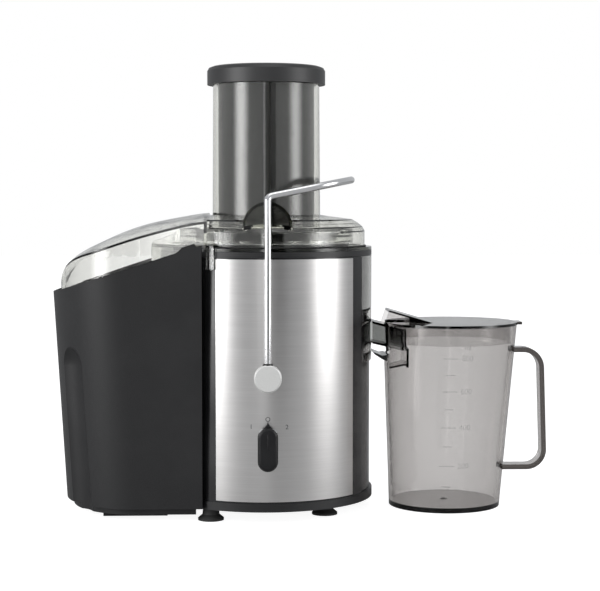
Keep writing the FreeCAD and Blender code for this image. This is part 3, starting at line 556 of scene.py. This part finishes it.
paint(clear_plastic("smoky_clear", (0.50, 0.51, 0.48), 230.0), "bowl")
paint(clear_plastic("nozzle_clear", (0.50, 0.51, 0.50), 1000.0), "juice_spout")
paint(clear_plastic("rim_clear", (0.80, 0.82, 0.74), 30.0), "basket_rim")

# ---- Lid -----------------------------------------------------------------------------------------
# The lid, its feed tube and the dome over the pulp container are one smoky clear moulding, a little greener
# than the jug. A thin black seal lies round its foot on the bowl's flange.
lid_clear = clear_plastic("lid_clear", (0.53, 0.535, 0.47), 120.0)
paint(lid_clear, "lid")


def turned_ring(profile, centre, steps=128):
    """Vertices and faces of a closed (radius, height) outline turned about an upright axis."""
    verts = []
    for step in range(steps):
        turn = 2 * math.pi * step / steps
        verts += [(centre[0] + r * math.cos(turn), centre[1] + r * math.sin(turn), z) for r, z in profile]
    faces = []
    count = len(profile)
    for step in range(steps):
        here, there = step * count, (step + 1) % steps * count
        for corner in range(count):
            after = (corner + 1) % count
            faces.append((here + corner, there + corner, there + after, here + after))
    return verts, faces


bowl_top_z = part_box("bowl")[1][2]
seal_r = 0.0794
seal_thick = 0.0006
seal_z = bowl_top_z + seal_thick * 0.9
seal_sides = 10
seal_profile = []
for step in range(seal_sides):
    turn = 2 * math.pi * step / seal_sides
    seal_profile.append((seal_r + seal_thick * math.cos(turn), seal_z + seal_thick * math.sin(turn)))
piece("lid_seal", [turned_ring(seal_profile, (axis_x, 0.0))], "base", rubber)

# ---- Pulp chute ----------------------------------------------------------------------------------
# Clear guide walls under the dome, one pair at the front and one at the rear, that steer the pulp down into
# the container. Each wall has a rounded upper corner and hangs from the dome's roof.


def upright_slab(outline, first_y, last_y):
    """Vertices and faces of a flat slab that faces the front: an (x, z) outline between two depths."""
    count = len(outline)
    verts = [(x, first_y, z) for x, z in outline] + [(x, last_y, z) for x, z in outline]
    faces = [tuple(range(count)), tuple(range(2 * count - 1, count - 1, -1))]
    faces += [(n, (n + 1) % count, (n + 1) % count + count, n + count) for n in range(count)]
    return verts, faces


wall_thick = 0.0018
wall_corner = 0.006
corner_steps = 6


def wall_plate(left, right, low, left_top, right_top, y):
    """An upright plate with a rounded upper left corner."""
    outline = [(left, low)]
    for step in range(corner_steps + 1):
        turn = math.pi - math.pi / 2 * step / corner_steps
        outline.append((left + wall_corner + wall_corner * math.cos(turn),
                        left_top - wall_corner + wall_corner * math.sin(turn)))
    outline += [(right, right_top), (right, low)]
    return upright_slab(outline, y - wall_thick / 2, y + wall_thick / 2)


outer_wall = {"left": axis_x - 0.0881, "right": axis_x - 0.0716,
              "low": 0.198, "left_top": 0.2165, "right_top": 0.2203}
inner_wall = {"left": axis_x - 0.0712, "right": axis_x - 0.0545,
              "low": 0.2105, "left_top": 0.2243, "right_top": 0.2243}
chute_y = 0.0660
chute = []
for side in (-1, 1):
    chute.append(wall_plate(**outer_wall, y=side * chute_y))
    chute.append(wall_plate(**inner_wall, y=side * chute_y))
piece("pulp_chute", chute, "base", lid_clear, 0.0003)

# ---- Pusher --------------------------------------------------------------------------------------
# A hollow black moulding with a keyway down its front, closed by a wide domed cap of the same plastic, which
# is a little darker and smoother. Both have a fine grain from the mould.


def pusher_black(start):
    grain = start.noise(1600.0, 2.0)
    soft = start.noise(24.0, 3.0)
    return {"Base Color": soft.tint((0.024, 0.024, 0.025), (0.033, 0.033, 0.034)),
            "Roughness": 0.40 + soft * 0.10, "Normal": grain.bump(0.00005, 0.5)}


def cap_black(start):
    grain = start.noise(1600.0, 2.0)
    soft = start.noise(30.0, 4.0)
    return {"Base Color": soft.tint((0.016, 0.016, 0.017), (0.024, 0.024, 0.025)),
            "Roughness": 0.38 + soft * 0.12, "Normal": grain.bump(0.00007, 0.6)}


paint(material("pusher_black", {"IOR": 1.5}, pusher_black), "pusher_body")
paint(material("cap_black", {"IOR": 1.5}, cap_black), "pusher_cap")

# ---- Locking arm ---------------------------------------------------------------------------------
# A 5.5 mm steel rod, bent and chromed, held at each end in a satin silver cap on a steel pin. A black
# rubber ring round the rod's foot in each cap is painted shade, for the dark of the rod's hole.
boss_low, boss_high = (Vector(corner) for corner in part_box("arm_boss_front"))
pivot_z = (boss_low.z + boss_high.z) / 2
rod_y = (boss_low.y + boss_high.y) / 2


def chromed(start):
    haze = start.noise(45.0, 4.0).between(0.45, 0.85)
    return {"Base Color": haze.tint((0.74, 0.74, 0.75), (0.66, 0.66, 0.67)),
            "Roughness": 0.09 + haze * 0.07, "Normal": start.noise(120.0).bump(0.00003, 0.3)}


def satin_silver(start):
    x, y, z = start.split()
    level = z - pivot_z
    aside = x - axis_x
    rings = start.math("SINE", start.math("SQRT", aside * aside + level * level) * 9000.0)
    fleck = start.noise(900.0, 3.0)
    return {"Base Color": fleck.tint((0.60, 0.60, 0.59), (0.69, 0.69, 0.68)),
            "Roughness": 0.36 + fleck * 0.12, "Normal": rings.bump(0.00002, 0.3)}


paint(material("chrome", {"Metallic": 1.0}, chromed), "locking_arm")
paint(material("satin_silver", {"Metallic": 0.35}, satin_silver), "arm_boss_front", "arm_boss_rear")

# Painted shade: a black rubber ring at the rod's foot in each cap stands in for the shadow in the rod's
# hole.
foot_shade_bore_r = 0.0029
foot_shade_r = 0.0040
foot_shade_tip_r = 0.0034
foot_shade_low_z = boss_high.z - 0.0012
foot_shade_edge_z = boss_high.z - 0.0002
foot_shade_top_z = boss_high.z + 0.0006
foot_shade_profile = [(foot_shade_bore_r, foot_shade_low_z), (foot_shade_r, foot_shade_low_z), (foot_shade_r, foot_shade_edge_z),
                  (foot_shade_tip_r, foot_shade_top_z), (foot_shade_bore_r, foot_shade_top_z)]
for end, y in (("front", rod_y), ("rear", -rod_y)):
    piece("rod_foot_shade_" + end, [turned_ring(foot_shade_profile, (axis_x, y), 40)], "arm", rubber)

# ---- Speed knob ----------------------------------------------------------------------------------
# A long satin black lever on a steel shaft. A thin flange at its foot lies just off the panel, a pointer
# stands at its upper end, and a ridge runs down its face. Two short bright plated lines at its shoulders are
# a painted highlight on its rounded top.
knob_low, knob_high = (Vector(corner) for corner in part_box("speed_knob"))
knob_half = (knob_high.x - knob_low.x) / 2


def knob_black(start):
    grain = start.noise(1900.0, 2.0)
    rub = start.noise(60.0, 4.0).between(0.4, 0.8)
    return {"Base Color": rub.tint((0.006, 0.006, 0.007), (0.010, 0.010, 0.011)),
            "Roughness": 0.36 + rub * 0.12, "Normal": grain.bump(0.00005, 0.5)}


knob_finish = material("knob_black", {"IOR": 1.48, "Specular IOR Level": 0.3}, knob_black)
paint(knob_finish, "speed_knob")

arc_z = knob_high.z - knob_half
pointer_foot_half = knob_half * 1.02
pointer_taper = 1.5
pointer_low_z = arc_z + knob_half * 0.45
pointer_tall = knob_half * 0.55 + 0.0042
pointer_steps = 8
pointer_side = []
for step in range(pointer_steps + 1):
    share = step / pointer_steps
    pointer_side.append((pointer_foot_half * (1 - share) ** pointer_taper,
                         pointer_low_z + pointer_tall * share))
pointer_line = [(axis_x - x, z) for x, z in pointer_side]
pointer_line += [(axis_x + x, z) for x, z in reversed(pointer_side[:-1])]
pointer_back_y = knob_high.y + 0.0001
pointer_front_y = knob_low.y + 0.0042
piece("knob_pointer", [upright_slab(pointer_line, pointer_back_y, pointer_front_y)], "knob",
      knob_finish, 0.0003)

flange_half = 0.0077
flange_rise = 0.0169
flange_z = (knob_low.z + knob_high.z) / 2 - 0.0006
flange_back_y = knob_high.y - 0.0001
flange_front_y = knob_high.y - 0.0026
flange_steps = 24
flange_line = []
for end, first_degree in ((1, 0.0), (-1, 180.0)):
    for step in range(flange_steps + 1):
        turn = math.radians(first_degree + 180.0 * step / flange_steps)
        flange_line.append((axis_x + flange_half * math.cos(turn),
                            flange_z + end * (flange_rise - flange_half) + flange_half * math.sin(turn)))
piece("knob_flange", [upright_slab(flange_line, flange_back_y, flange_front_y)], "knob",
      knob_finish, 0.0004)

ridge_half = 0.0013
ridge_top_z = knob_high.z - 0.0040
ridge_long = 0.020
ridge_foot_y = knob_low.y + 0.0003
ridge_lift = 0.0007
ridge_least = 0.0001
ridge_steps = 10
ridge_verts, ridge_faces = [], []
for step in range(ridge_steps + 1):
    share = step / ridge_steps
    z = ridge_top_z - ridge_long * share
    lift = ridge_lift * math.sin(math.pi * min(1.0, share * 1.2 + 0.1)) + ridge_least
    ridge_verts += [(axis_x - ridge_half, ridge_foot_y, z), (axis_x, ridge_foot_y - lift, z),
                    (axis_x + ridge_half, ridge_foot_y, z)]
for step in range(ridge_steps):
    here = 3 * step
    ridge_faces += [(here, here + 1, here + 4, here + 3), (here + 1, here + 2, here + 5, here + 4),
                    (here + 2, here, here + 3, here + 5)]
last = 3 * ridge_steps
ridge_faces += [(0, 1, 2), (last, last + 1, last + 2)]
piece("knob_ridge", [(ridge_verts, ridge_faces)], "knob", knob_finish)

# Painted highlight: two short plated arcs round the knob's shoulders stand in for its highlight.
glint_r = knob_half + 0.0004
glint_y = knob_low.y + 0.0036
glint_thick = 0.00035
glint_starts = (28.0, 120.0)
glint_sweep = 32.0
glint_steps = 14
glint_sides = 6
glints = []
for first_degree in glint_starts:
    glint_verts, glint_faces = [], []
    for step in range(glint_steps + 1):
        turn = math.radians(first_degree + glint_sweep * step / glint_steps)
        for around in range(glint_sides):
            roll = 2 * math.pi * around / glint_sides
            reach = glint_r + glint_thick * math.cos(roll)
            glint_verts.append((axis_x + reach * math.cos(turn), glint_y + glint_thick * math.sin(roll),
                               arc_z + reach * math.sin(turn)))
    for step in range(glint_steps):
        here, there = glint_sides * step, glint_sides * (step + 1)
        for around in range(glint_sides):
            after = (around + 1) % glint_sides
            glint_faces.append((here + around, there + around, there + after, here + after))
    glint_faces.append(tuple(range(glint_sides)))
    glint_faces.append(tuple(glint_sides * glint_steps + around for around in reversed(range(glint_sides))))
    glints.append((glint_verts, glint_faces))
piece("knob_glint", glints, "knob", steel)

# ---- Pulp container ------------------------------------------------------------------------------
# One deep moulding of matte black polypropylene with a fine spark-eroded texture. Its hollow side hugs the
# housing, and it slides out to the left under the lid's dome.


def matte_black(start):
    grain = start.noise(1300.0, 4.0)
    rub = start.noise(18.0, 5.0).between(0.45, 0.8)
    return {"Base Color": rub.tint((0.013, 0.013, 0.014), (0.020, 0.020, 0.021)),
            "Roughness": 0.44 + grain * 0.12,
            "Normal": grain.bump(0.00014, 0.7)}


paint(material("container_black", {"IOR": 1.48, "Specular IOR Level": 0.36}, matte_black),
      "pulp_container")

# ---- Jug -----------------------------------------------------------------------------------------
# Smoky clear jug with its handle, a baffle inside it, and a lid whose hood covers the nozzle. All three are
# moulded in the same plastic and polished.
paint(clear_plastic("jug_clear", (0.53, 0.51, 0.50), 375.0), "jug", "jug_lid", "splash_guard")

# ---- Jug scale -----------------------------------------------------------------------------------
# Raised lines and numbers moulded on the front of the jug, one line each 100 ml and a number each 200 ml. A
# small round gate mark is left in the middle of its floor.
jug_x = axis_x + 0.144
jug_top_z = 0.1457
jug_floor_z = 0.0038
base_r, rim_r = 0.0446, 0.0539
lean = 0.0041
wall = 0.0024


def jug_centre(z):
    return jug_x + lean * z / jug_top_z


def jug_radius(z):
    return base_r + (rim_r - base_r) * z / jug_top_z


def level_for(volume):
    """The height at which the jug holds a volume in cubic metres."""
    z, held, step = jug_floor_z, 0.0, 0.0005
    while held < volume:
        held += math.pi * (jug_radius(z) - wall) ** 2 * step
        z += step
    return z


def frosted(start):
    grain = start.noise(1500.0, 2.0)
    return {"Base Color": grain.tint((0.16, 0.16, 0.16), (0.22, 0.22, 0.22)),
            "Roughness": 0.4 + grain * 0.2}


scale_lift = 0.00025


def wrap_on_jug(flat_verts, aside, level):
    """Flat (x, y) places laid round the jug's front at a level, aside from its middle."""
    wrapped = []
    for flat_x, flat_y in flat_verts:
        z = level + flat_y
        reach = jug_radius(z) + scale_lift
        turn = (aside + flat_x) / reach
        wrapped.append((jug_centre(z) + reach * math.sin(turn), -reach * math.cos(turn), z))
    return wrapped


hundred_ml = 1e-4
long_half, short_half = 0.0058, 0.0034
line_half_thick = 0.00035
line_aside = -0.0045
line_steps = 6
number_aside = 0.0085
number_size = 0.0062
unit_size = 0.0055
unit_drop = 0.004
scale = []
for hundreds in range(1, 9):
    level = level_for(hundreds * hundred_ml)
    numbered = hundreds % 2 == 0
    half = long_half if numbered else short_half
    line = [(-half + 2 * half * n / line_steps, side * line_half_thick)
            for n in range(line_steps + 1) for side in (-1, 1)]
    faces = [(2 * n, 2 * n + 2, 2 * n + 3, 2 * n + 1) for n in range(line_steps)]
    scale.append((wrap_on_jug(line, line_aside, level), faces))
    if numbered:
        flat_verts, flat_faces = characters(str(hundreds * 100), number_size)
        scale.append((wrap_on_jug(flat_verts, number_aside, level), flat_faces))
flat_verts, flat_faces = characters("ml", unit_size)
scale.append((wrap_on_jug(flat_verts, number_aside, level_for(9 * hundred_ml) - unit_drop), flat_faces))
piece("jug_scale", scale, "jug", material("frosted_mark", {"Alpha": 0.28}, frosted))

gate_foot_z = 0.0039
gate_edge_z = 0.0042
gate_top_z = 0.0044
gate_profile = [(0.0, gate_foot_z), (0.0024, gate_foot_z), (0.0030, gate_edge_z), (0.0018, gate_top_z),
                (0.0, gate_top_z)]
piece("jug_gate", [turned_ring(gate_profile, (jug_centre(0.0), 0.0), 32)], "jug",
      material("gate_mark", {}, frosted))
